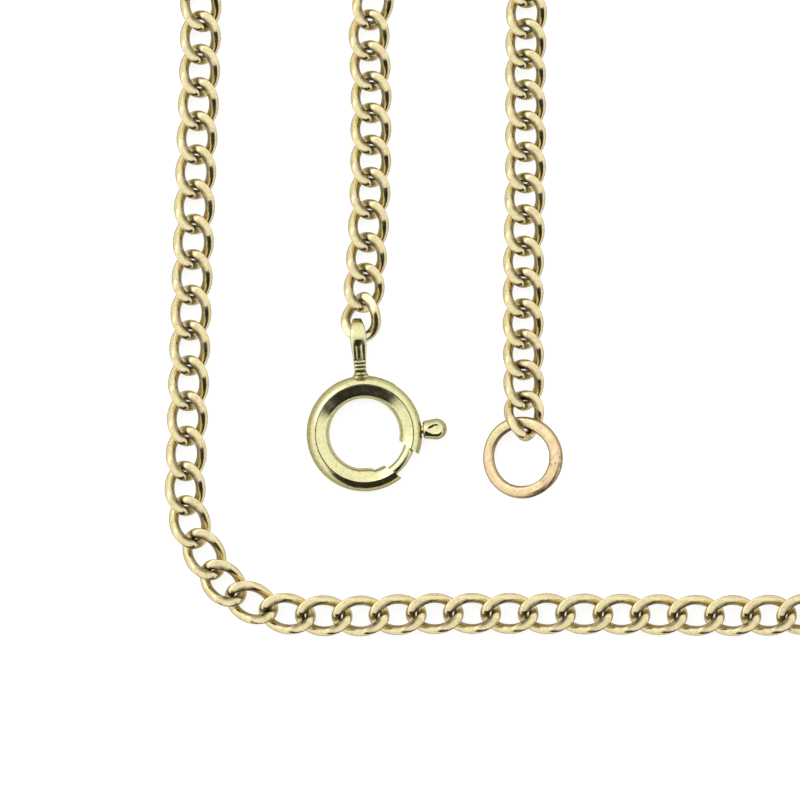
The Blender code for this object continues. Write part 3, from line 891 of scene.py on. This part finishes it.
class CHAIN_OT_eye(bpy.types.Operator):
    """Make the eye's strap and the solder at its foot"""

    bl_idname = "chain.eye"
    bl_label = "Eye and solder"

    def execute(self, context):
        sizes = context.scene.chain_clasp
        centre = clasp_centre()
        low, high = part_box("clasp_eye")
        middle = (low[2] + high[2]) / 2
        place = Matrix.Translation((centre.x, centre.y, middle)) @ Matrix.Rotation(sizes.eye_angle, 4, "Z")
        half = (high[2] - low[2]) / 2
        strap = add_object("eye_strap", self.strap(half))
        strap.data.transform(place)
        hand_over(strap, finish("worn_clasp_gold"), "clasp", "clasp_gold", "clasp_eye")
        foot = add_object("eye_solder", self.solder(sizes, centre.z - middle))
        foot.data.transform(place)
        hand_over(foot, finish("worn_clasp_gold"), "clasp", "clasp_gold")
        return {"FINISHED"}

    def strap(self, half):
        """A flat strap bent round into a standing loop, split by a groove down to its foot."""
        tip, widest, foot = 6.97 * MM, 5.82 * MM, 3.75 * MM
        thick = 0.345 * MM
        mid_half = half - thick / 2
        bend = tip - half
        line = []
        for step in range(BEND_STEPS + 1):
            turn = -math.pi / 2 + math.pi * step / BEND_STEPS
            line.append((bend + mid_half * math.cos(turn), mid_half * math.sin(turn)))
        back = []
        for step in range(1, LEG_STEPS + 1):
            t = step / LEG_STEPS
            along = bend + (foot - bend) * t
            back.append((along, mid_half * (1 - 0.62 * t**1.6)))
        line = [(x, -z) for x, z in reversed(back)] + line + back
        sections = []
        marks = []
        count = len(line)
        for index, (x, z) in enumerate(line):
            x0, z0 = line[max(index - 1, 0)]
            x1, z1 = line[min(index + 1, count - 1)]
            along = Vector((x1 - x0, 0, z1 - z0)).normalized()
            out = Vector((along.z, 0, -along.x))
            if x > widest:
                width = 0.49 * MM * (1 - 0.62 * ((x - widest) / (tip - widest)) ** 2.2)
            else:
                width = (0.49 - 0.17 * ((widest - x) / (widest - foot)) ** 1.3) * MM
            groove = clamp((GROOVE_TOP - x) / (0.35 * MM)) * clamp((x - GROOVE_FOOT) / (0.2 * MM))
            soldered = clamp((SOLDER_TOP - x) / (0.1 * MM))
            ripple = soldered * (0.5 + 0.5 * math.sin(x / (0.035 * MM)))
            spread = 0.05 * MM + 0.08 * max(0.0, GROOVE_TOP - x)
            section = []
            for side in range(STRAP_SIDES):
                turn = 2 * math.pi * side / STRAP_SIDES
                u = math.copysign(abs(math.cos(turn)) ** 0.5, math.cos(turn))
                v = math.copysign(abs(math.sin(turn)) ** 0.6, math.sin(turn))
                deep = groove * 0.22 * MM * math.exp(-((u * width / spread) ** 2)) * (v > 0)
                deep += 0.06 * MM * ripple * (v > 0)
                section.append(Vector((x, 0, z)) + out * (v * thick / 2 - deep) + Vector((0, u * width, 0)))
                # Painted shade: the groove and the ripples over the solder are darkened by how deep they
                # are.
                marks.append(clamp(deep / (0.08 * MM)))
            sections.append(section)
        mesh = loft("eye_strap", sections)
        mark(mesh, "crease", marks)
        return mesh

    def solder(self, sizes, drop):
        """Rippled solder from the neck of the strap, flaring on to the tube."""
        sections = []
        steps = 44
        for step in range(steps + 1):
            t = step / steps
            x = (4.42 - 1.09 * t) * MM
            ripple = 0.035 * MM * math.sin(t * 34) * (1 - 0.6 * t)
            wide = (0.34 + 0.02 * t + 0.32 * t**6) * MM + ripple
            tall = (0.46 - 0.02 * t) * MM + ripple
            lift = drop * t**1.5
            section = []
            for side in range(SOLDER_SIDES):
                turn = 2 * math.pi * side / SOLDER_SIDES
                rough = 0.03 * MM * noise.noise(Vector((x, math.cos(turn) * MM, math.sin(turn) * MM)) * 4000)
                y = (wide + rough) * math.cos(turn)
                z = (tall + rough) * math.sin(turn) + lift
                section.append(Vector((x, y, z)))
            sections.append(section)
        mesh = loft("eye_solder", sections)
        # The whole solder is darkened a little.
        mark(mesh, "crease", [0.35] * len(mesh.vertices))
        return mesh


# --- Jump ring ------------------------------------------------------------------------------------


class CHAIN_OT_jump_ring(bpy.types.Operator):
    """Make the soldered jump ring, worn a little out of round"""

    bl_idname = "chain.jump_ring"
    bl_label = "Jump ring"

    def execute(self, context):
        sizes = context.scene.chain_ring
        points = node_points("jump_ring")
        middle = Vector((points.min(axis=0) + points.max(axis=0)) / 2)
        _, axes = np.linalg.eigh(np.cov((points - points.mean(axis=0)).T))
        up = Vector(axes[:, 0])
        if up.z < 0:
            up = -up
        north = Vector((0, 1, 0))
        east = north.cross(up).normalized()
        place = Matrix((east, up.cross(east), up)).transposed().to_4x4()
        place.translation = middle
        sections, marks, greener = [], [], []
        steps, sides = 180, 32
        seam = math.radians(-60)
        for step in range(steps):
            turn = 2 * math.pi * step / steps
            off = math.remainder(turn - seam, 2 * math.pi)
            flat = min(1.0, 1.5 * math.exp(-((off / 0.26) ** 2)))
            radius = sizes.radius * (1.02 + 0.006 * math.cos(2 * turn + 0.6) + 0.005 * math.cos(3 * turn))
            thinner = 0.085 * math.cos(turn) - 0.02 * math.sin(turn) + 0.02 * math.cos(turn * 5 + 1)
            half = sizes.wire / 2 * (1 + thinner - 0.05 * flat)
            upper_left = math.exp(-((math.remainder(turn - 2.2, 2 * math.pi) / 0.7) ** 2))
            pitted = math.exp(-((math.remainder(turn + 0.07, 2 * math.pi) / 0.16) ** 2))
            section = []
            for side in range(sides):
                around_wire = 2 * math.pi * side / sides
                out = half * math.cos(around_wire)
                rise = half * math.sin(around_wire)
                ceiling = half * (0.74 - 0.25 * flat)
                planed = max(0.0, rise - ceiling)
                rise -= planed * 0.9
                section.append(around(radius, turn, out, rise))
                # Painted shade: the planed seam facet on the outer top side and the inner side at the upper
                # left are darkened; the pits are darkened too.
                shaded_facet = flat * (0.3 < math.sin(around_wire) < 0.98) * (math.cos(around_wire) > -0.2)
                inner = upper_left * (math.cos(around_wire) < -0.6) * (math.sin(around_wire) > -0.2)
                rough = noise.noise(Vector((turn * 9, around_wire * 3, 0.5)))
                pit = 0.9 * pitted * (rough > 0.22)
                marks.append(max(shaded_facet, 0.8 * inner, pit))
                greener.append(upper_left)
            sections.append(section)
        mesh = loft("jump_ring_wire", sections, closed=True)
        mark(mesh, "crease", marks)
        mark(mesh, "tint", greener)
        ring = add_object("jump_ring_wire", mesh)
        ring.data.transform(place)
        hand_over(ring, finish("worn_ring_gold"), "jump_ring", "ring_gold", "jump_ring")
        return {"FINISHED"}


# --- Stage ----------------------------------------------------------------------------------------


class CHAIN_OT_stage(bpy.types.Operator):
    """Make the white table, the white tent, the lamp and the camera"""

    bl_idname = "chain.stage"
    bl_label = "Stage"

    def execute(self, context):
        scene = context.scene
        sizes = scene.chain_stage
        body = bmesh.new()
        bmesh.ops.create_grid(body, x_segments=1, y_segments=1, size=sizes.table / 2)
        mesh = bpy.data.meshes.new("table")
        body.to_mesh(mesh)
        body.free()
        table = add_object("table", mesh)
        table.location = (sizes.view_x, sizes.view_y, CAD_BOX[0][2])
        mesh.materials.append(white_table("white_table", scene.chain_finishes.floor, sizes.glow))
        self.tent(scene, sizes.tent)
        self.lamp(scene, sizes)
        self.camera(scene, sizes)
        scene.view_settings.view_transform = "Standard"
        return {"FINISHED"}

    def tent(self, scene, strength):
        """A white tent, open on the near side, where it is dark, and dimmer towards the horizon."""
        world = bpy.data.worlds.new("tent")
        scene.world = world
        world.use_nodes = True
        works = NodeWorks(world.node_tree)
        ground = world.node_tree.nodes["Background"]
        sky = works.add("ShaderNodeTexCoord").outputs["Generated"]
        look = works.add("ShaderNodeVectorMath", sky, operation="NORMALIZE").outputs[0]
        opening = Vector((0.15, -0.80, 0.58)).normalized()
        near = works.add("ShaderNodeVectorMath", look, tuple(opening), operation="DOT_PRODUCT")
        near = near.outputs["Value"]
        dark = works.ramp(near, math.cos(math.radians(48)), math.cos(math.radians(36)))
        height = works.add("ShaderNodeSeparateXYZ", look).outputs["Z"]
        low = works.ramp(height, 0.75, 0.0, 0.0, 0.3)
        shade = works.math("MAXIMUM", dark, low)
        bright = works.ramp(shade, 0.0, 1.0, strength, 0.03)
        direct = works.add("ShaderNodeLightPath").outputs["Is Camera Ray"]
        seen = works.add("ShaderNodeMix", data_type="FLOAT")
        works.feed(seen, 0, direct)
        works.feed(seen, 2, bright)
        works.feed(seen, 3, 1.0)
        works.feed(ground, "Color", (1, 1, 1, 1))
        works.feed(ground, "Strength", seen.outputs[0])

    def lamp(self, scene, sizes):
        light = bpy.data.lights.new("soft_lamp", "AREA")
        light.energy = sizes.lamp
        light.size = 0.3
        lamp = bpy.data.objects.new("soft_lamp", light)
        scene.collection.objects.link(lamp)
        lamp.location = (sizes.view_x - 0.25, sizes.view_y + 0.2, 0.4)
        aim = Vector((sizes.view_x, sizes.view_y, 0)) - lamp.location
        lamp.rotation_euler = aim.to_track_quat("-Z", "Y").to_euler()

    def camera(self, scene, sizes):
        lens = bpy.data.cameras.new("camera")
        lens.sensor_width = 36
        lens.lens = lens.sensor_width * sizes.camera_height / sizes.view_width
        lens.clip_start = 0.01
        camera = bpy.data.objects.new("camera", lens)
        scene.collection.objects.link(camera)
        camera.location = (sizes.view_x, sizes.view_y, sizes.camera_height)
        scene.camera = camera


class CHAIN_PT_panel(bpy.types.Panel):
    """Lists the pieces that can be made"""

    bl_label = "Watch Chain"
    bl_idname = "CHAIN_PT_panel"
    bl_space_type = "VIEW_3D"
    bl_region_type = "UI"
    bl_category = "Chain"

    def draw(self, context):
        for operator in OPERATORS:
            self.layout.operator(operator.bl_idname)


OPERATORS = (
    CHAIN_OT_open_links,
    CHAIN_OT_loop_links,
    CHAIN_OT_bolt_ring,
    CHAIN_OT_tongue,
    CHAIN_OT_return_spring,
    CHAIN_OT_eye,
    CHAIN_OT_jump_ring,
    CHAIN_OT_stage,
)
GROUPS = {
    "chain_links": LinkSizes,
    "chain_clasp": ClaspSizes,
    "chain_ring": RingSizes,
    "chain_finishes": Finishes,
    "chain_stage": StageSizes,
}


def register():
    for group in GROUPS.values():
        bpy.utils.register_class(group)
    for name, group in GROUPS.items():
        setattr(bpy.types.Scene, name, PointerProperty(type=group))
    for operator in OPERATORS:
        bpy.utils.register_class(operator)
    bpy.utils.register_class(CHAIN_PT_panel)


def unregister():
    bpy.utils.unregister_class(CHAIN_PT_panel)
    for operator in reversed(OPERATORS):
        bpy.utils.unregister_class(operator)
    for name, group in GROUPS.items():
        delattr(bpy.types.Scene, name)
        bpy.utils.unregister_class(group)


def main():
    register()
    bpy.ops.chain.open_links()
    bpy.ops.chain.loop_links()
    bpy.ops.chain.bolt_ring()
    bpy.ops.chain.tongue()
    bpy.ops.chain.return_spring()
    bpy.ops.chain.eye()
    bpy.ops.chain.jump_ring()
    bpy.ops.chain.stage()


if __name__ == "__main__":
    main()
